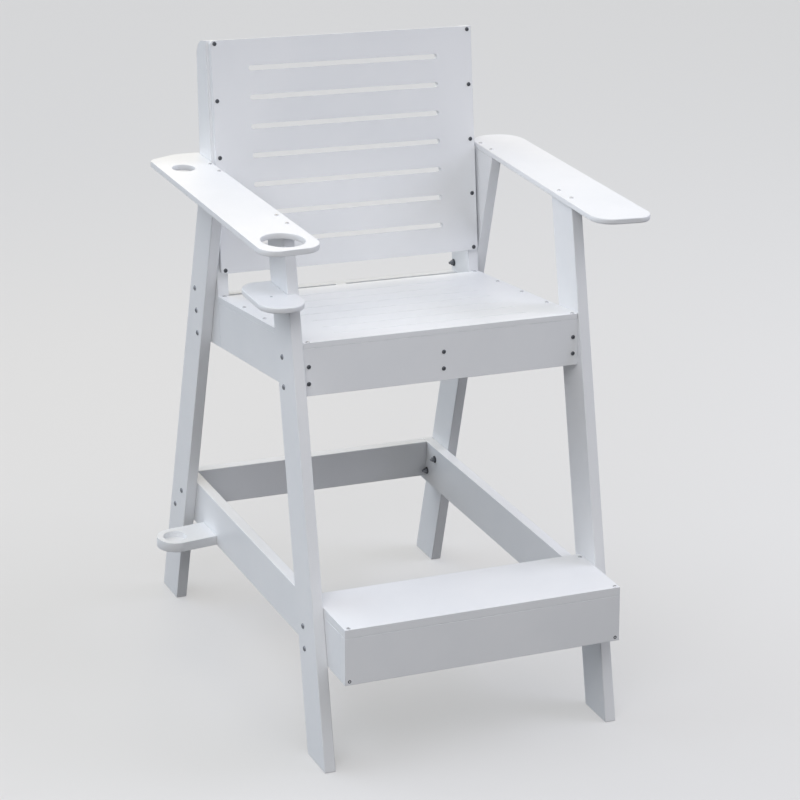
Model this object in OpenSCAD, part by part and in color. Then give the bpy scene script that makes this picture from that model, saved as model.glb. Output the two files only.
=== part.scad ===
// Lifeguard chair in solid plastic boards: four leaning legs, a sloping grooved seat with a
// slotted back, two armrests, a cup shelf, a low frame with a step and an umbrella bracket.
// The chair is laid out about its own middle plane and the front edge of its front feet,
// and place() then moves every piece so that the origin is under the middle of the chair.

/* [Boards] */
// Thickness of the structural boards
board_t = 25.4; // [19:0.1:32]
// Thickness of the seat panel
seat_t = 12.7; // [9:0.1:19]
// Thickness of the step's tread
tread_t = 19; // [12:0.5:25]
// Thickness of the back panel
back_t = 12.7; // [9:0.1:19]
// Thickness of the armrests
arm_t = 12.7; // [9:0.1:22]

/* [Legs] */
// Clear width between the left and right legs
bay_w = 647.7; // [500:1:900]
// Height of the legs, to the underside of the armrests
leg_h = 1088; // [900:1:1300]
// Width of a leg board
leg_w = 89; // [70:1:110]
// Backward lean of the front legs, going up
front_lean = 16.9; // [8:0.1:20]
// Forward lean of the rear legs, going up
rear_lean = 9.4; // [4:0.1:14]
// Distance from the front of the back uprights to the front of the rear legs, at seat height
rear_set = 20.7; // [0:0.1:40]

/* [Seat] */
// Height of the seat panel's front edge
seat_h = 866.5; // [700:1:900]
// Depth of the seat panel, along its slope
seat_d = 482.6; // [430:1:500]
// Fall of the seat towards the back
seat_tilt = 7; // [2:0.1:10]
// Height of the boards under the seat
apron_h = 101.6; // [80:1:130]
// Radius of the seat panel's front corners
seat_corner_r = 6; // [1:0.5:12]
// Number of shallow grooves across the seat's top
grooves = 7; // [3:1:7]
// Distance between grooves, and from the front edge to the first
groove_pitch = 59.4; // [30:0.1:60]
// Length of a groove, end to end
groove_l = 458; // [300:1:560]
// Width of a groove
groove_w = 3; // [1.5:0.1:5]
// Depth of a groove
groove_depth = 1; // [0.5:0.1:3]

/* [Back] */
// Length of the back panel, along its lean
back_h = 514; // [400:1:600]
// Backward lean of the back panel
back_lean = 12; // [8:0.1:14]
// Space between the seat and the lower edge of the back panel
back_gap = 51; // [36:1:80]
// Strip of upright that shows beside the back panel
back_inset = 6; // [0:0.5:10]
// Radius of the back panel's corners
back_corner_r = 9; // [2:0.5:20]
// Number of slots in the back panel
slots = 7; // [3:1:9]
// Height of a slot
slot_h = 11; // [8:0.5:16]
// Length of a slot, end to end
slot_l = 461; // [300:1:560]
// Depth of an upright where it passes the seat
upright_d = 88.9; // [70:1:100]
// Depth of an upright at its top
upright_top_d = 57; // [45:1:70]
// Radius of an upright's rear top corner
upright_r = 36; // [10:1:40]

/* [Armrests] */
// Width of the armrests, outwards from the legs' inner faces
arm_w = 127; // [122:1:180]
// Overhang of the armrests in front of the front legs
arm_front = 147; // [120:1:200]
// Length by which the left armrest runs back past the front of its upright
left_arm_rear = 83; // [60:1:110]
// Length by which the right armrest runs back past the front of its upright
right_arm_rear = 48; // [30:1:80]
// Amount by which each armrest widens inwards towards the front
arm_toe = 11; // [0:1:20]
// Radius of the armrests' outer front corners
arm_front_r = 38; // [15:1:46]
// Radius of the armrests' inner front corners
arm_inner_r = 44; // [5:1:46]
// Slant of the armrests' front edges, their inner ends set back
arm_slant = 4; // [0:0.5:15]
// Length by which the left armrest's rear edge is cut back at its outer corner
rear_cut_l = 31; // [5:1:40]
// Width over which that edge is cut back
rear_cut_w = 69; // [50:1:80]
// Radius of the bend where the cut-back part starts
rear_bend_r = 80; // [10:1:90]
// Radius of the left armrest's outer rear corner
left_rear_r = 20; // [5:1:30]
// Radius of the right armrest's rounded rear end
right_rear_r = 55; // [10:1:58]

/* [Cup holder] */
// Diameter of the cup hole
cup_d = 92; // [70:1:95]
// Distance from the armrest's front edge to the middle of the cup hole
cup_back = 66; // [60:1:90]
// Distance from the armrest's outer edge to the middle of the cup hole
cup_in = 68; // [60:1:80]
// Space between the armrest and the cup shelf
cup_drop = 122; // [90:1:150]
// Width of the cup shelf beside the leg
shelf_w = 79; // [70:1:100]
// Length by which the cup shelf stops short of the leg's inner face
shelf_short = 4; // [0:0.5:8]
// Distance from the middle of the cup hole to the cup shelf's front edge
shelf_ahead = 33; // [30:1:60]
// Radius of the cup shelf's corners
shelf_r = 45; // [10:1:48]

/* [Umbrella holder] */
// Diameter of the umbrella hole in the left armrest
umbrella_d = 50.8; // [38:0.1:56]
// Distance from the armrest's outer edge to the middle of the umbrella hole
umbrella_in = 52; // [45:1:60]
// Distance from the armrest's outer rear corner forwards to the middle of the umbrella hole
umbrella_from_rear = 76; // [60:1:120]
// Diameter of the socket in the low bracket
socket_d = 53; // [44:0.1:64]
// Depth of the socket
socket_depth = 12.7; // [8:0.1:18]
// Width of the low bracket
bracket_w = 82; // [76:1:100]
// Thickness of the low bracket
bracket_t = 22.5; // [20:0.1:26]
// Turn of the low bracket about the socket, its end at the rail further back
bracket_turn = 8; // [0:0.5:10]
// Distance from the lower rail's outer face to the middle of the socket
bracket_reach = 91; // [80:1:110]
// Distance from the front edge of the rear foot to the middle of the socket
bracket_front = 153; // [130:1:200]

/* [Step] */
// Height of the step
step_h = 335; // [280:1:400]
// Depth of the tread
step_d = 180; // [150:1:210]
// Distance from the front edge of the front feet out to the top of the step
step_out = 10; // [0:1:40]
// Height of the lower side rails and the step's front board
rail_h = 101.6; // [80:1:120]
// Height of the lower rear rail
rear_rail_h = 89; // [70:1:110]
// Slope of the step's front board, its foot forward
step_lean = 7; // [0:0.1:10]

/* [Hidden] */
$fn = 64;
poly_white = [0.93, 0.94, 0.95];
eps = 1;

// Inner faces of the legs, where every board between them ends
inner = bay_w / 2;
outer = inner + board_t;
arm_reach = inner + arm_w;

// The front edge of the front legs at a height z above the floor
function front_edge(z) = z * tan(front_lean);
front_w = leg_w / cos(front_lean);

// Seat axes: u runs back along the slope, w stands square to it, both from the front edge
seat_y = front_edge(seat_h);
function at_seat(u, w) = [
    seat_y + u * cos(seat_tilt) + w * sin(seat_tilt),
    seat_h - u * sin(seat_tilt) + w * cos(seat_tilt)
];

// Back axes: s runs up the lean from the seat panel's rear foot, d runs back square to it.
// d is 0 on the front edges of the uprights, which the back panel is screwed to.
back_foot = at_seat(seat_d, -seat_t);
function at_back(s, d) = back_foot + [
    s * sin(back_lean) + d * cos(back_lean),
    s * cos(back_lean) - d * sin(back_lean)
];
function upright_front(z) = back_foot[0] + (z - back_foot[1]) * tan(back_lean);
lean_from_seat = back_lean - seat_tilt;
panel_foot = seat_t / cos(lean_from_seat) + back_gap;
panel_top = panel_foot + back_h;
upright_taper = (upright_d - upright_top_d) / panel_top;
function upright_depth(s) = upright_d - s * upright_taper;

// The front edge of the rear legs at a height z; they cross the uprights behind the seat
foot_pitch = back_foot[0] + rear_set + back_foot[1] * tan(rear_lean);
function rear_edge(z) = foot_pitch - z * tan(rear_lean);
rear_w = leg_w / cos(rear_lean);

// The seat box ends at the rear rail, flush with the uprights' rear edges
apron_foot = -seat_t - apron_h;
upright_foot = -apron_h / cos(lean_from_seat);
rail_back_u = seat_d + upright_d;

// Lower frame: side rails run from the rear legs' rear edges to the step
tread_foot = step_h - tread_t;
rail_foot = tread_foot - rail_h;
frame_rear = rear_edge(tread_foot) + rear_w;
function step_face(z) = -step_out - (step_h - z) * tan(step_lean);

// Armrests: front and rear, where they leave the back panel, and the holes in the left one
arm_front_y = front_edge(leg_h) - arm_front;
left_rear_y = upright_front(leg_h) + left_arm_rear;
right_rear_y = upright_front(leg_h) + right_arm_rear;
arm_bend_y = upright_front(leg_h) - back_t / cos(back_lean);
cup_at = [-(arm_reach - cup_in), arm_front_y + cup_back];
umbrella_at = [-(arm_reach - umbrella_in), left_rear_y - rear_cut_l - umbrella_from_rear];
shelf_top = leg_h - cup_drop;
socket_at = [-(inner + bracket_reach), foot_pitch - bracket_front];

// Origin: the middle of the chair's outline on the floor
mid_x = (inner + bracket_reach + bracket_w / 2 - arm_reach) / 2;
mid_y = -(step_face(rail_foot) + foot_pitch + rear_w) / 2;

module place() { translate([mid_x, mid_y, 0]) children(); }

// A board lying in the YZ plane, its outline given as [y, z], from x0 towards +X
module side_board(x0, t) {
    translate([x0, 0, 0]) rotate([90, 0, 90]) linear_extrude(t) children();
}

// The sharp tip outside a round of radius r that touches both sides of the corner b
module corner_tip(a, b, c, r) {
    to_a = (a - b) / norm(a - b);
    to_c = (c - b) / norm(c - b);
    half = acos(to_a * to_c) / 2;
    reach = r / tan(half);
    inward = (to_a + to_c) / norm(to_a + to_c);
    middle = b + inward * r / sin(half);
    difference() {
        polygon([b - inward * eps, b + to_a * reach, middle, b + to_c * reach]);
        translate(middle) circle(r);
    }
}

// An outline whose corners are rounded, each by its own radius, 0 for a sharp one
module rounded_outline(points, radii) {
    n = len(points);
    difference() {
        polygon(points);
        for (i = [0 : n - 1])
            if (radii[i] > 0)
                corner_tip(points[(i + n - 1) % n], points[i], points[(i + 1) % n], radii[i]);
    }
}

// A long hole with round ends, the outline of a slot or a groove
module round_ended(length, width) {
    straight = length - width;
    square([straight, width], center = true);
    for (end = [-1, 1]) translate([end * straight / 2, 0]) circle(width / 2);
}

module front_leg_outline() {
    polygon([[0, 0], [front_w, 0], [front_edge(leg_h) + front_w, leg_h], [front_edge(leg_h), leg_h]]);
}

module rear_leg_outline() {
    polygon([
        [foot_pitch, 0], [foot_pitch + rear_w, 0],
        [rear_edge(leg_h) + rear_w, leg_h], [rear_edge(leg_h), leg_h]
    ]);
}

module front_leg(side) {
    color(poly_white) place() side_board(side < 0 ? -outer : inner, board_t) front_leg_outline();
}

module rear_leg(side) {
    color(poly_white) place() side_board(side < 0 ? -outer : inner, board_t) rear_leg_outline();
}

// Lays a flat outline, given as [x, u], on the seat's slope with its top w above the seat axes
module on_seat(w, t) {
    translate([0, seat_y, seat_h]) rotate([-seat_tilt, 0, 0])
        translate([0, 0, w - t]) linear_extrude(t) children();
}

module seat_panel() {
    color(poly_white) place() difference() {
        on_seat(0, seat_t) rounded_outline(
            [[-inner, 0], [inner, 0], [inner, seat_d], [-inner, seat_d]],
            [seat_corner_r, seat_corner_r, 0, 0]
        );
        for (i = [1 : grooves])
            on_seat(eps, groove_depth + eps)
                translate([0, i * groove_pitch]) round_ended(groove_l, groove_w);
    }
}

module seat_front_apron() {
    color(poly_white) place() side_board(-inner, bay_w)
        polygon([
            at_seat(0, -seat_t), at_seat(board_t, -seat_t),
            at_seat(board_t, apron_foot), at_seat(0, apron_foot)
        ]);
}

// A side board of the seat box, from the front apron back to its upright
module seat_side_apron(side) {
    color(poly_white) place() side_board(side < 0 ? -inner : inner - board_t, board_t)
        polygon([
            at_seat(board_t, -seat_t), at_back(0, 0),
            at_back(upright_foot, 0), at_seat(board_t, apron_foot)
        ]);
}

module seat_centre_rib() {
    color(poly_white) place() side_board(-board_t / 2, board_t)
        polygon([
            at_seat(board_t, -seat_t), at_seat(rail_back_u - board_t, -seat_t),
            at_seat(rail_back_u - board_t, apron_foot), at_seat(board_t, apron_foot)
        ]);
}

module seat_rear_rail() {
    color(poly_white) place() side_board(-(inner - board_t), bay_w - 2 * board_t)
        polygon([
            at_seat(rail_back_u - board_t, -seat_t), at_seat(rail_back_u, -seat_t),
            at_seat(rail_back_u, apron_foot), at_seat(rail_back_u - board_t, apron_foot)
        ]);
}

// The board that carries the back: tapered, rounded at the top, cut level with the aprons
module back_upright(side) {
    rear_foot = upright_foot + upright_d * tan(lean_from_seat);
    color(poly_white) place() side_board(side < 0 ? -inner : inner - board_t, board_t)
        rounded_outline(
            [
                at_back(upright_foot, 0), at_back(panel_top, 0),
                at_back(panel_top, upright_top_d), at_back(rear_foot, upright_depth(rear_foot))
            ],
            [0, 0, upright_r, 0]
        );
}

module back_panel() {
    half = inner - back_inset;
    pitch = back_h / (slots + 1);
    color(poly_white) place()
        translate([0, back_foot[0], back_foot[1]]) rotate([90 - back_lean, 0, 0])
            linear_extrude(back_t) difference() {
                rounded_outline(
                    [[-half, panel_foot], [half, panel_foot], [half, panel_top], [-half, panel_top]],
                    [back_corner_r, back_corner_r, back_corner_r, back_corner_r]
                );
                for (i = [1 : slots])
                    translate([0, panel_foot + i * pitch]) round_ended(slot_l, slot_h);
            }
}

// Outline of a left armrest, its front edge at arm_front_y where the outer corner is rounded.
// The inner edge runs straight past the upright and the back panel, then inwards to the front.
// The rear end is given as points from the inner to the outer edge, with their radii.
module arm_outline(rear_end, rear_radii) {
    corner_ahead = arm_front_r / tan((90 - arm_slant) / 2) - arm_front_r;
    corner_y = arm_front_y - corner_ahead;
    inner_corner_y = corner_y + (arm_reach - inner + arm_toe) * tan(arm_slant);
    rounded_outline(
        concat(
            [[-arm_reach, corner_y], [-(inner - arm_toe), inner_corner_y], [-inner, arm_bend_y]],
            rear_end
        ),
        concat([arm_front_r, arm_inner_r, 0], rear_radii)
    );
}

module left_armrest() {
    rear_end = [
        [-inner, left_rear_y], [-(arm_reach - rear_cut_w), left_rear_y],
        [-arm_reach, left_rear_y - rear_cut_l]
    ];
    color(poly_white) place() translate([0, 0, leg_h]) linear_extrude(arm_t) difference() {
        arm_outline(rear_end, [0, rear_bend_r, left_rear_r]);
        translate(cup_at) circle(cup_d / 2);
        translate(umbrella_at) circle(umbrella_d / 2);
    }
}

module right_armrest() {
    rear_end = [[-inner, right_rear_y], [-arm_reach, right_rear_y]];
    color(poly_white) place() translate([0, 0, leg_h]) linear_extrude(arm_t)
        mirror([1, 0]) arm_outline(rear_end, [right_rear_r, right_rear_r]);
}

// A small shelf below the cup hole, cut round the front and outer faces of the left leg
module cup_shelf() {
    front_y = cup_at[1] - shelf_ahead;
    rear_y = front_edge(shelf_top) + front_w;
    color(poly_white) place() difference() {
        translate([0, 0, shelf_top - arm_t]) linear_extrude(arm_t)
            rounded_outline(
                [
                    [-(outer + shelf_w), front_y], [-(inner + shelf_short), front_y],
                    [-(inner + shelf_short), rear_y], [-(outer + shelf_w), rear_y]
                ],
                [shelf_r, shelf_r, 0, shelf_r]
            );
        side_board(-outer, board_t + eps) front_leg_outline();
        translate([-outer, front_edge(shelf_top), shelf_top - arm_t - eps])
            cube([board_t + eps, rear_y, arm_t + 2 * eps]);
    }
}

module lower_side_rail(side) {
    color(poly_white) place() side_board(side < 0 ? -inner : inner - board_t, board_t)
        polygon([
            [step_face(rail_foot) + board_t, rail_foot],
            [frame_rear, rail_foot], [frame_rear, tread_foot],
            [step_face(tread_foot) + board_t, tread_foot]
        ]);
}

module lower_rear_rail() {
    color(poly_white) place()
        translate([-(inner - board_t), frame_rear - board_t, tread_foot - rear_rail_h])
            cube([bay_w - 2 * board_t, board_t, rear_rail_h]);
}

module step_front_board() {
    color(poly_white) place() side_board(-inner, bay_w)
        polygon([
            [step_face(rail_foot), rail_foot], [step_face(rail_foot) + board_t, rail_foot],
            [step_face(tread_foot) + board_t, tread_foot], [step_face(tread_foot), tread_foot]
        ]);
}

module step_tread() {
    color(poly_white) place() side_board(-inner, bay_w)
        polygon([
            [step_face(tread_foot), tread_foot], [step_d - step_out, tread_foot],
            [step_d - step_out, step_h], [step_face(step_h), step_h]
        ]);
}

// A round-ended bar that meets the outer face of the left lower rail at an angle
module umbrella_bracket() {
    r = bracket_w / 2;
    along = [cos(bracket_turn), sin(bracket_turn)];
    aside = [-sin(bracket_turn), cos(bracket_turn)];
    // The edge of the bar on one side of its middle line, carried on to the rail
    function at_rail(side) = socket_at + side * r * aside
        + along * (bracket_reach + side * r * sin(bracket_turn)) / cos(bracket_turn);
    color(poly_white) place() translate([0, 0, rail_foot]) difference() {
        linear_extrude(bracket_t) {
            translate(socket_at) circle(r);
            polygon([socket_at - r * aside, at_rail(-1), at_rail(1), socket_at + r * aside]);
        }
        translate([socket_at[0], socket_at[1], bracket_t - socket_depth])
            cylinder(d = socket_d, h = socket_depth + eps);
    }
}

front_leg(-1);  // front_left_leg
front_leg(1);  // front_right_leg
rear_leg(-1);  // rear_left_leg
rear_leg(1);  // rear_right_leg
seat_panel();
seat_front_apron();
seat_side_apron(-1);  // seat_left_apron
seat_side_apron(1);  // seat_right_apron
seat_centre_rib();
seat_rear_rail();
back_upright(-1);  // left_back_upright
back_upright(1);  // right_back_upright
back_panel();
left_armrest();
right_armrest();
cup_shelf();
lower_side_rail(-1);  // left_lower_rail
lower_side_rail(1);  // right_lower_rail
lower_rear_rail();
step_front_board();
step_tread();
umbrella_bracket();
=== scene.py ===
"""Lifeguard chair in solid plastic boards: the finish of every board, and its fasteners."""

import math

import bmesh
import bpy
from mathutils import Matrix, Vector


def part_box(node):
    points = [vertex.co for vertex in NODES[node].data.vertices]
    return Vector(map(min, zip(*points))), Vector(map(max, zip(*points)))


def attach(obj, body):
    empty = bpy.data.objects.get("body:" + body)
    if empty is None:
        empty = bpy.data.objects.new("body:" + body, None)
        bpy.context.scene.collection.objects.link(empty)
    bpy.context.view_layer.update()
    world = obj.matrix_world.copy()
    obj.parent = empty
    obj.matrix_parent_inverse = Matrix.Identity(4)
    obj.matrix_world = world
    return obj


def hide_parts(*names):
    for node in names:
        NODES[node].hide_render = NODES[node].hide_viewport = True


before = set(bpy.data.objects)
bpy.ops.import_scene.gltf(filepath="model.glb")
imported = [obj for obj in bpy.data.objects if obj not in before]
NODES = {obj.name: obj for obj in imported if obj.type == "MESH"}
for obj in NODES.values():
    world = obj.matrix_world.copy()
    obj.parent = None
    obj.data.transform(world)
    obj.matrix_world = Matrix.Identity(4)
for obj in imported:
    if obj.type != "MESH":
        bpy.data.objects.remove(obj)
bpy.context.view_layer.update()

MM = 0.001


# ---------------------------------------------------------------- sizes read from the frame

def low(node):
    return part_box(node)[0]


def high(node):
    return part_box(node)[1]


def reach(node, direction):
    """How far a board reaches along a direction: its least and its greatest distance."""
    distances = [direction.dot(vertex.co) for vertex in NODES[node].data.vertices]
    return min(distances), max(distances)


MID_X = (low("seat_panel").x + high("seat_panel").x) / 2
BOARD = high("front_right_leg").x - low("front_right_leg").x
LEG_IN = low("front_right_leg").x - MID_X
LEG_OUT = LEG_IN + BOARD
RAIL_IN = LEG_IN - BOARD
FRONT, UP = Vector((0, -1, 0)), Vector((0, 0, 1))


class Face:
    """The flat face of a board that looks most nearly along a direction. Its Y runs over the face,
    from the near edge to the far edge: backwards on a level face, upwards on an upright one."""

    def __init__(self, node, direction):
        faces = NODES[node].data.polygons
        face = max(faces, key=lambda polygon: (round(direction.dot(polygon.normal), 3),
                                               polygon.area))
        self.normal = face.normal.copy()
        self.across = self.normal.cross(Vector((1, 0, 0))).normalized()
        self.level = reach(node, self.normal)[1]
        self.near, self.far = reach(node, self.across)

    def spot(self, x, distance):
        """The place at x from the chair's middle, at a distance from the near edge, or from the
        far edge where the distance is negative."""
        run = (self.near if distance >= 0 else self.far) + distance
        return Vector((MID_X + x, 0, 0)) + self.across * run + self.normal * self.level

    def matrix(self, place, turn=0.0):
        """Stands a part on the face: its Z along the normal, turned about it."""
        return standing(place, self.normal, self.across, turn)


def standing(place, normal, across, turn=0.0):
    axes = Matrix((across.cross(normal), across, normal)).transposed().to_4x4()
    return Matrix.Translation(place) @ axes @ Matrix.Rotation(turn, 4, "Z")


SEAT = Face("seat_panel", UP)
BACK = Face("back_panel", FRONT)
APRON = Face("seat_front_apron", FRONT)
STEP = Face("step_front_board", FRONT)
TREAD = Face("step_tread", UP)
ARMS = Face("left_armrest", UP)
SHELF = Face("cup_shelf", UP)


# ---------------------------------------------------------------- materials

def new_material(name):
    material = bpy.data.materials.new(name)
    material.use_nodes = True
    tree = material.node_tree
    return material, tree, tree.nodes["Principled BSDF"]


def add_node(tree, kind, **values):
    """Adds a shader node and sets its properties, or its inputs where the name is an input's."""
    node = tree.nodes.new(kind)
    for name, value in values.items():
        if hasattr(node, name):
            setattr(node, name, value)
        else:
            node.inputs[name.replace("_", " ")].default_value = value
    return node


def noise(tree, scale, detail=3.0, roughness=0.55, stretch=(1, 1, 1)):
    """Noise in metres of the chair, so that it has the same size on every board."""
    place = add_node(tree, "ShaderNodeTexCoord")
    mapping = add_node(tree, "ShaderNodeMapping", Scale=stretch)
    texture = add_node(tree, "ShaderNodeTexNoise", Scale=scale, Detail=detail, Roughness=roughness)
    tree.links.new(place.outputs["Object"], mapping.inputs["Vector"])
    tree.links.new(mapping.outputs["Vector"], texture.inputs["Vector"])
    return texture.outputs["Fac"]


def ramp(tree, source, low_at, high_at, low_value, high_value):
    """Maps a range of a factor onto two values or two colours."""
    if isinstance(low_value, tuple):
        node = add_node(tree, "ShaderNodeMapRange", data_type="FLOAT_VECTOR")
        node.inputs[7].default_value = (low_at,) * 3
        node.inputs[8].default_value = (high_at,) * 3
        node.inputs[9].default_value = low_value
        node.inputs[10].default_value = high_value
        tree.links.new(source, node.inputs[6])
        return node.outputs[1]
    node = add_node(tree, "ShaderNodeMapRange")
    for name, value in (("From Min", low_at), ("From Max", high_at),
                        ("To Min", low_value), ("To Max", high_value)):
        node.inputs[name].default_value = value
    tree.links.new(source, node.inputs["Value"])
    return node.outputs["Result"]


def bump(tree, height, distance, strength, onto=None):
    node = add_node(tree, "ShaderNodeBump", Distance=distance, Strength=strength)
    tree.links.new(height, node.inputs["Height"])
    if onto is not None:
        tree.links.new(onto, node.inputs["Normal"])
    return node.outputs["Normal"]


def product(tree, first, second):
    node = add_node(tree, "ShaderNodeMath", operation="MULTIPLY")
    tree.links.new(first, node.inputs[0])
    tree.links.new(second, node.inputs[1])
    return node.outputs[0]


def worn_edges(tree, width):
    """1 where a board's edges are rubbed, in patches, and 0 on its faces."""
    inside = add_node(tree, "ShaderNodeAmbientOcclusion", samples=8, inside=True, only_local=True,
                      Distance=width)
    edges = ramp(tree, inside.outputs["AO"], 0.85, 0.45, 0, 1)
    patches = ramp(tree, noise(tree, 45.0, detail=5.0, roughness=0.7), 0.40, 0.62, 0, 1)
    return product(tree, edges, patches)


def board_material(name, grain):
    """Satin polyethylene sheet, its edges rubbed smoother and a little grey. grain is the direction
    of the board, which its fine marks follow."""
    material, tree, shader = new_material(name)
    worn = worn_edges(tree, 5 * MM)
    clouds = noise(tree, 5.0, detail=4.0)
    colour = ramp(tree, clouds, 0.3, 0.7, (0.80, 0.815, 0.835), (0.845, 0.855, 0.87))
    rubbed = add_node(tree, "ShaderNodeMix", data_type="RGBA", blend_type="MULTIPLY")
    rubbed.inputs[7].default_value = (0.88, 0.89, 0.90, 1)
    tree.links.new(worn, rubbed.inputs[0])
    tree.links.new(colour, rubbed.inputs[6])
    tree.links.new(rubbed.outputs[2], shader.inputs["Base Color"])
    patches = noise(tree, 38.0, detail=5.0, roughness=0.65)
    satin = ramp(tree, patches, 0.3, 0.7, 0.32, 0.44)
    shine = product(tree, satin, ramp(tree, worn, 0, 1, 1.0, 0.7))
    tree.links.new(shine, shader.inputs["Roughness"])
    marks = noise(tree, 260.0, detail=2.0, stretch=tuple(0.06 if axis else 1.0 for axis in grain))
    pebble = noise(tree, 900.0, detail=2.0)
    drawn = bump(tree, marks, 0.10 * MM, 0.25)
    tree.links.new(bump(tree, pebble, 0.09 * MM, 0.5, onto=drawn), shader.inputs["Normal"])
    shader.inputs["Specular IOR Level"].default_value = 0.45
    return material


def steel_material(name, colour, roughness):
    material, tree, shader = new_material(name)
    shader.inputs["Base Color"].default_value = (*colour, 1)
    shader.inputs["Metallic"].default_value = 1.0
    stains = noise(tree, 900.0, detail=3.0)
    shine = ramp(tree, stains, 0.3, 0.7, roughness, roughness + 0.15)
    tree.links.new(shine, shader.inputs["Roughness"])
    brushing = noise(tree, 5000.0, detail=1.0)
    tree.links.new(bump(tree, brushing, 0.02 * MM, 0.4), shader.inputs["Normal"])
    return material


BOARD_X = board_material("poly_board_across", (1, 0, 0))
BOARD_Y = board_material("poly_board_lengthwise", (0, 1, 0))
BOARD_Z = board_material("poly_board_upright", (0, 0, 1))
STEEL = steel_material("stainless", (0.50, 0.51, 0.53), 0.28)
# Painted shade: the same stainless darkened, for the bolt heads, nut bodies and bolt ends, which
# look dark in their shade
PAINTED_HALF_SHADE_STEEL = steel_material("stainless_painted_half_shade", (0.20, 0.21, 0.23), 0.40)
# Painted shade: the same stainless darkened, for screws on upright faces, which catch less light,
# and for the washers, standing for the shadow round each nut
PAINTED_SHADE_STEEL = steel_material("stainless_painted_shade", (0.085, 0.09, 0.10), 0.40)


# ---------------------------------------------------------------- boards

# How far each board's edges are eased, in millimetres, and the way its grain runs
BOARDS = {
    "front_left_leg": (2.2, BOARD_Z),
    "front_right_leg": (2.2, BOARD_Z),
    "rear_left_leg": (2.2, BOARD_Z),
    "rear_right_leg": (2.2, BOARD_Z),
    "seat_front_apron": (0.8, BOARD_X),
    "seat_left_apron": (0.8, BOARD_Y),
    "seat_right_apron": (0.8, BOARD_Y),
    "seat_centre_rib": (0.8, BOARD_Y),
    "seat_rear_rail": (1.2, BOARD_X),
    "left_back_upright": (2.0, BOARD_Z),
    "right_back_upright": (2.0, BOARD_Z),
    "back_panel": (1.2, BOARD_X),
    "left_armrest": (2.5, BOARD_Y),
    "right_armrest": (2.5, BOARD_Y),
    "cup_shelf": (2.5, BOARD_Y),
    "left_lower_rail": (1.5, BOARD_Y),
    "right_lower_rail": (1.5, BOARD_Y),
    "lower_rear_rail": (1.5, BOARD_X),
    "step_front_board": (0.8, BOARD_X),
    "step_tread": (1.0, BOARD_X),
    "umbrella_bracket": (2.5, BOARD_X),
}


def finish_board(node, ease, material):
    """Gives a board its material and eases its edges."""
    board = NODES[node]
    board.material_slots[0].material = material
    weld = board.modifiers.new("weld", "WELD")
    weld.merge_threshold = 0.01 * MM
    flatten = board.modifiers.new("flatten", "DECIMATE")
    flatten.decimate_type = "DISSOLVE"
    flatten.angle_limit = math.radians(0.5)
    bevel = board.modifiers.new("eased_edges", "BEVEL")
    bevel.width = ease * MM
    bevel.segments = 3
    bevel.limit_method = "ANGLE"
    bevel.angle_limit = math.radians(40)
    bevel.harden_normals = True


for board_node, (board_ease, board_finish) in BOARDS.items():
    finish_board(board_node, board_ease, board_finish)


# ---------------------------------------------------------------- pieces made here

def add_piece(name, mesh_builder, material, smooth_angle=35):
    """Makes a piece from a bmesh, gives it its material and slot, and sets it on the chair."""
    mesh = bpy.data.meshes.new(name)
    mesh_builder.normal_update()
    mesh_builder.to_mesh(mesh)
    mesh_builder.free()
    mesh.materials.append(material)
    mesh.shade_smooth()
    mesh.set_sharp_from_angle(angle=math.radians(smooth_angle))
    piece = bpy.data.objects.new(name, mesh)
    bpy.context.scene.collection.objects.link(piece)
    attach(piece, "root")
    return piece


def lathe(bm, profile, sides, place, flats=None):
    """Turns a profile of (radius, height) about Z and puts it at a place. The profile starts at
    the outer foot and is closed by a cap where it ends. flats makes a ring polygonal: a dict of
    ring number to how many flats it has."""
    flats = flats or {}
    rings = []
    for index, (radius, height) in enumerate(profile):
        ring = []
        for step in range(sides):
            angle = 2 * math.pi * step / sides
            out = radius
            if index in flats:
                part = 2 * math.pi / flats[index]
                out = radius / math.cos((angle % part) - part / 2)
            point = Vector((out * math.cos(angle), out * math.sin(angle), height))
            ring.append(bm.verts.new(place @ point))
        rings.append(ring)
    for ring, next_ring in zip(rings, rings[1:]):
        for step in range(sides):
            after = (step + 1) % sides
            bm.faces.new((ring[step], ring[after], next_ring[after], next_ring[step]))
    bm.faces.new(rings[-1])
    bm.faces.new(list(reversed(rings[0])))


# Profiles as shares of a radius: (radius, height) from the foot up, then into the drive recess
SCREW_R = 4.7 * MM
SCREW = [(1.00, 0.0), (1.00, 0.10), (0.93, 0.24), (0.72, 0.36), (0.42, 0.42), (0.36, 0.40),
         (0.33, 0.10)]
BOLT_R = 6.0 * MM
BOLT = [(1.00, 0.0), (1.00, 0.08), (0.94, 0.22), (0.80, 0.34), (0.55, 0.42), (0.42, 0.44),
        (0.38, 0.41), (0.36, 0.12)]
WASHER_R = 8.5 * MM
WASHER = [(1.00, 0.0), (1.00, 0.13), (0.95, 0.18), (0.50, 0.18)]
NUT_R = 5.55 * MM
NUT = [(0.98, 0.0), (1.00, 0.08), (1.00, 0.80), (0.97, 0.90), (0.84, 0.96), (0.82, 1.20),
       (0.70, 1.26), (0.60, 1.20)]
THREAD_R = 3.15 * MM


def scaled(profile, radius):
    return [(r * radius, h * radius) for r, h in profile]


def screws(name, face, places, material, radius=SCREW_R, sunk=0.0):
    """Pan-head screws with a square recess, on one face or sunk into it, each at its own turn."""
    bm = bmesh.new()
    for index, (x, distance) in enumerate(places):
        foot = face.matrix(face.spot(x, distance) - face.normal * sunk, 0.4 + 1.1 * index)
        lathe(bm, scaled(SCREW, radius), 24, foot, flats={5: 4, 6: 4})
    add_piece(name, bm, material)


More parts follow.
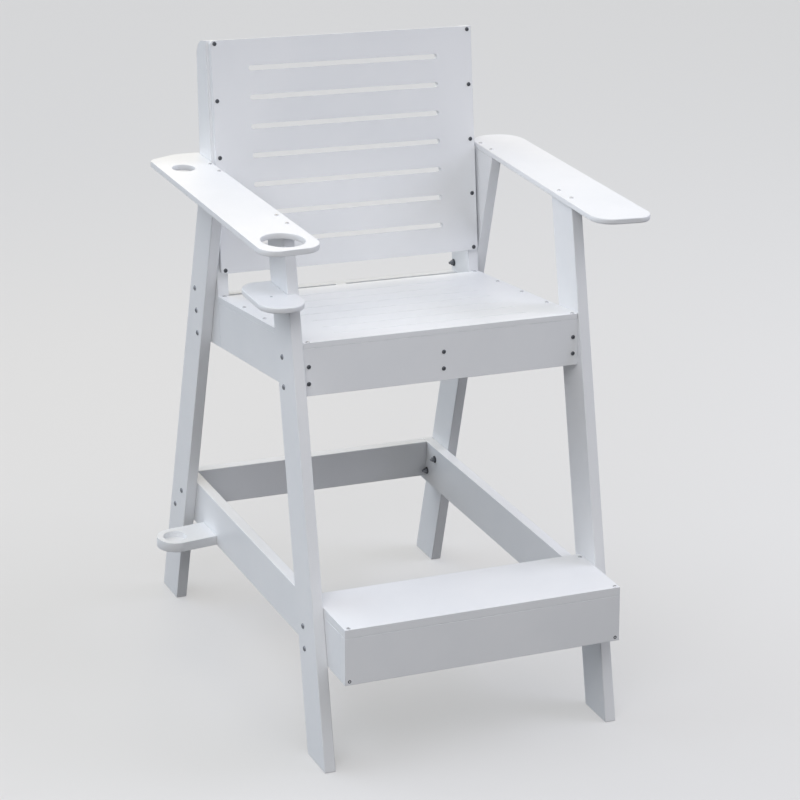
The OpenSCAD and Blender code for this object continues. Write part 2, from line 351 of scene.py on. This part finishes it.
def bolts(name, places, side):
    """Button-head bolts with a hexagonal recess, on the outer faces of one side's legs."""
    bm = bmesh.new()
    for index, (y, z) in enumerate(places):
        place = Vector((MID_X + side * LEG_OUT, y, z))
        foot = standing(place, Vector((side, 0, 0)), UP, 0.7 * index)
        lathe(bm, scaled(BOLT, BOLT_R), 24, foot, flats={6: 6, 7: 6})
    # The bolt heads take stainless darkened with painted shade
    add_piece(name, bm, PAINTED_HALF_SHADE_STEEL)


def nuts(name, places, side):
    """Washers and lock nuts on the inner faces of one side's boards, with the bolts' ends
    standing out."""
    washers, bodies = bmesh.new(), bmesh.new()
    for index, (y, z) in enumerate(places):
        place = Vector((MID_X + side * RAIL_IN, y, z))
        foot = standing(place, Vector((-side, 0, 0)), UP, 0.5 * index)
        lathe(washers, scaled(WASHER, WASHER_R), 28, foot)
        on_washer = foot @ Matrix.Translation((0, 0, WASHER[-1][1] * WASHER_R))
        lathe(bodies, scaled(NUT, NUT_R), 24, on_washer, flats={ring: 6 for ring in range(4)})
        lathe(bodies, bolt_end(), 16, on_washer)
    # The washers take the darkest steel, painted shade for the shadow round each nut
    add_piece(name + "_washers", washers, PAINTED_SHADE_STEEL)
    # The nut bodies and bolt ends take stainless darkened with painted shade
    add_piece(name, bodies, PAINTED_HALF_SHADE_STEEL)


def bolt_end():
    """The threaded end of a bolt: ridges and roots, and a chamfered tip."""
    pitch, depth, top = 1.27 * MM, 0.35 * MM, 9.5 * MM
    profile = [(THREAD_R, 0)]
    height = 5.0 * MM
    while height < top:
        profile += [(THREAD_R, height), (THREAD_R - depth, height + pitch / 2)]
        height += pitch
    profile += [(THREAD_R, height), (THREAD_R - 0.8 * MM, height + 0.8 * MM)]
    return profile


# ---------------------------------------------------------------- seat panel with its grooves

SEAT_EASE = 1.0 * MM
LIP_EASE = 0.4 * MM


def make_seat():
    """The seat panel with its outer edges eased, and more finely the lips of its grooves."""
    bm = bmesh.new()
    bm.from_mesh(NODES["seat_panel"].data)
    bmesh.ops.remove_doubles(bm, verts=bm.verts, dist=0.01 * MM)
    bmesh.ops.dissolve_limit(bm, angle_limit=math.radians(0.5), verts=bm.verts, edges=bm.edges)
    sharp = [edge for edge in bm.edges if edge.calc_face_angle(0) > math.radians(40)]
    inside = [edge for edge in sharp
              if all(abs(vert.co.x - MID_X) < 0.9 * LEG_IN for vert in edge.verts)]
    lips = [edge for edge in inside
            if all(SEAT.normal.dot(vert.co) > SEAT.level - 0.1 * MM for vert in edge.verts)]
    outline = [edge for edge in sharp if edge not in inside]
    bmesh.ops.bevel(bm, geom=lips, offset=LIP_EASE, segments=2, profile=0.5, affect="EDGES")
    outline = [edge for edge in outline if edge.is_valid]
    bmesh.ops.bevel(bm, geom=outline, offset=SEAT_EASE, segments=3, profile=0.5, affect="EDGES")
    seat = add_piece("seat_board", bm, BOARD_X)
    flat = seat.modifiers.new("flat_faces", "WEIGHTED_NORMAL")
    flat.keep_sharp = True
    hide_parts("seat_panel")


make_seat()


# ---------------------------------------------------------------- fasteners

def spread(first, last, count):
    return [first + (last - first) * index / (count - 1) for index in range(count)]


def both_sides(x, distances):
    return [(side * x, distance * MM) for side in (-1, 1) for distance in distances]


def front_edge(node, z):
    """Where a leg's or an upright's front edge stands at a height."""
    mesh = NODES[node].data
    ends = [[mesh.vertices[index].co for index in edge.vertices] for edge in mesh.edges]
    crossing = [(a, b) for a, b in ends if (a.z - z) * (b.z - z) < 0]
    return min(a.y + (b.y - a.y) * (z - a.z) / (b.z - a.z) for a, b in crossing)


MIDDLE = LEG_IN - BOARD / 2
seat_rows = spread(5, (SEAT.far - SEAT.near) / MM - 6, 5)
back_rows = spread(7, (BACK.far - BACK.near) / MM - 7, 5)
# Screws on level faces take the plain stainless, those on upright faces the copy darkened with
# painted shade
screws("seat_screws", SEAT, both_sides(MIDDLE, seat_rows), STEEL)
screws("back_screws", BACK, both_sides(LEG_IN - 16 * MM, back_rows), PAINTED_SHADE_STEEL)
screws("apron_screws", APRON, both_sides(MIDDLE, (-39, -75.5)) + [(0, -39 * MM), (0, -75.5 * MM)],
       PAINTED_SHADE_STEEL)
screws("armrest_screws", ARMS, both_sides(LEG_IN + 9 * MM, (166, 223, 552, 607)), STEEL)
screws("shelf_screw", SHELF, [(-LEG_OUT - 38 * MM, 73 * MM)], STEEL, radius=3.2 * MM)
screws("tread_screws", TREAD, both_sides(LEG_IN - 10 * MM, (8, -16)), STEEL)
screws("step_screws", STEP, both_sides(LEG_IN - 10 * MM, (8,)), PAINTED_SHADE_STEEL, sunk=1.4 * MM)

# Bolts, each as a board, its distance behind that board's front edge, and its height:
# through the legs into the seat box and the uprights above, into the lower rails below
apron_top = high("seat_left_apron").z
upright_foot = low("left_back_upright").z
rail_foot, rail_top = low("left_lower_rail").z, high("left_lower_rail").z
BOLTS = [
    ("front_left_leg", 60, apron_top - 28 * MM),
    ("front_left_leg", 64, apron_top - 90 * MM),
    ("front_left_leg", 61, rail_top - 39 * MM),
    ("front_left_leg", 62, rail_foot + 16 * MM),
    ("left_back_upright", 79, upright_foot + 121 * MM),
    ("left_back_upright", 77, upright_foot + 72 * MM),
    ("left_back_upright", 77, upright_foot + 22 * MM),
]
# The two through the foot of each rear leg weren't drilled alike
REAR_BOLTS = {
    "left": [("rear_left_leg", 30, rail_top - 30 * MM),
             ("rear_left_leg", 61, rail_foot + 22 * MM)],
    "right": [("rear_right_leg", 13, rail_top - 28 * MM),
              ("rear_right_leg", 44, rail_foot + 29 * MM)],
}
for side_name, side in (("left", -1), ("right", 1)):
    bolt_places = [(front_edge(node, z) + behind * MM, z)
                   for node, behind, z in BOLTS + REAR_BOLTS[side_name]]
    bolts(side_name + "_bolts", bolt_places, side)
    nuts(side_name + "_nuts", bolt_places, side)


# ---------------------------------------------------------------- floor, light and camera

# The backdrop and the floor as they are seen, and what they give the chair in light
BACKDROP_LEVEL = 0.8
WORLD_LEVEL = 0.18
FLOOR_SEEN = 0.36
FLOOR_GLOW = 0.33
FLOOR_BOUNCE = 0.12

CHAIR_MIDDLE = (0, 0, 0.7)

# Lens in millimetres, place in metres, and yaw, pitch and roll in degrees
CAMERA_LENS = 118.49
CAMERA_PLACE = (-2.3712, -4.8941, 2.7482)
CAMERA_TURN = (-25.98, -21.351, 3.153)


def seen_rays(tree):
    """1 for the rays by which a thing is seen, straight, mirrored or through glass, else 0."""
    path = add_node(tree, "ShaderNodeLightPath")
    total = path.outputs["Is Camera Ray"]
    for kind in ("Is Glossy Ray", "Is Transmission Ray"):
        both = add_node(tree, "ShaderNodeMath", operation="ADD", use_clamp=True)
        tree.links.new(total, both.inputs[0])
        tree.links.new(path.outputs[kind], both.inputs[1])
        total = both.outputs[0]
    return total


def make_floor():
    """A wide plain floor, pale where it is seen and grey in the light that it gives the chair."""
    bm = bmesh.new()
    bmesh.ops.create_grid(bm, x_segments=1, y_segments=1, size=30)
    mesh = bpy.data.meshes.new("floor")
    bm.to_mesh(mesh)
    bm.free()
    material, tree, shader = new_material("floor_paint")
    shader.inputs["Base Color"].default_value = (FLOOR_SEEN, FLOOR_SEEN, FLOOR_SEEN, 1)
    shader.inputs["Roughness"].default_value = 0.9
    shader.inputs["Emission Color"].default_value = (1, 1, 1, 1)
    shader.inputs["Emission Strength"].default_value = FLOOR_GLOW
    bounce = add_node(tree, "ShaderNodeBsdfDiffuse",
                      Color=(FLOOR_BOUNCE, FLOOR_BOUNCE, FLOOR_BOUNCE, 1))
    mix = add_node(tree, "ShaderNodeMixShader")
    tree.links.new(seen_rays(tree), mix.inputs["Fac"])
    tree.links.new(bounce.outputs["BSDF"], mix.inputs[1])
    tree.links.new(shader.outputs["BSDF"], mix.inputs[2])
    tree.links.new(mix.outputs["Shader"], tree.nodes["Material Output"].inputs["Surface"])
    mesh.materials.append(material)
    floor = bpy.data.objects.new("floor", mesh)
    bpy.context.scene.collection.objects.link(floor)


def add_light(name, kind, place, colour, **settings):
    """An area or sun light at a place, aimed at the middle of the chair."""
    light = bpy.data.lights.new(name, kind)
    light.color = colour
    for setting, value in settings.items():
        setattr(light, setting, value)
    holder = bpy.data.objects.new(name, light)
    holder.location = place
    way = Vector(CHAIR_MIDDLE) - Vector(place)
    holder.rotation_euler = way.to_track_quat("-Z", "Y").to_euler()
    bpy.context.scene.collection.objects.link(holder)


def light_scene():
    """A wide sky overhead, soft light from the left behind, and three lamps round the chair. The
    backdrop is pale where it is seen."""
    world = bpy.data.worlds.new("studio")
    bpy.context.scene.world = world
    world.use_nodes = True
    tree = world.node_tree
    background = tree.nodes["Background"]
    background.inputs["Color"].default_value = (1, 1, 1, 1)
    strength = ramp(tree, seen_rays(tree), 0, 1, WORLD_LEVEL, BACKDROP_LEVEL)
    tree.links.new(strength, background.inputs["Strength"])
    add_light("sky", "SUN", (-0.5, -0.5, 5.7), (1.0, 0.99, 0.98), energy=1.50,
              angle=math.radians(110))
    add_light("left_light", "SUN", (-5, 4, 3.7), (0.77, 0.87, 1.0), energy=1.24,
              angle=math.radians(60))
    add_light("front_light", "AREA", (-1.9, -2.1, 2.7), (0.94, 0.95, 1.0), energy=31, size=1.8)
    add_light("right_light", "AREA", (4.4, -1, 3.7), (0.80, 0.83, 1.0), energy=110, size=3)
    add_light("rear_light", "AREA", (0, 2, 2.6), (1.0, 0.80, 0.40), energy=10, size=1.5)


def aim_camera():
    """Stands the camera in front of the chair, to its left and above it, as in the photograph."""
    camera = bpy.data.cameras.new("camera")
    camera.sensor_width = 36.0
    camera.lens = CAMERA_LENS
    camera.clip_end = 200
    holder = bpy.data.objects.new("camera", camera)
    yaw, pitch, roll = (math.radians(angle) for angle in CAMERA_TURN)
    turn = Matrix.Rotation(yaw, 4, "Z") @ Matrix.Rotation(math.pi / 2 + pitch, 4, "X")
    holder.matrix_world = Matrix.Translation(CAMERA_PLACE) @ turn @ Matrix.Rotation(roll, 4, "Z")
    bpy.context.scene.collection.objects.link(holder)
    bpy.context.scene.camera = holder


make_floor()
light_scene()
aim_camera()
bpy.context.scene.view_settings.view_transform = "Standard"
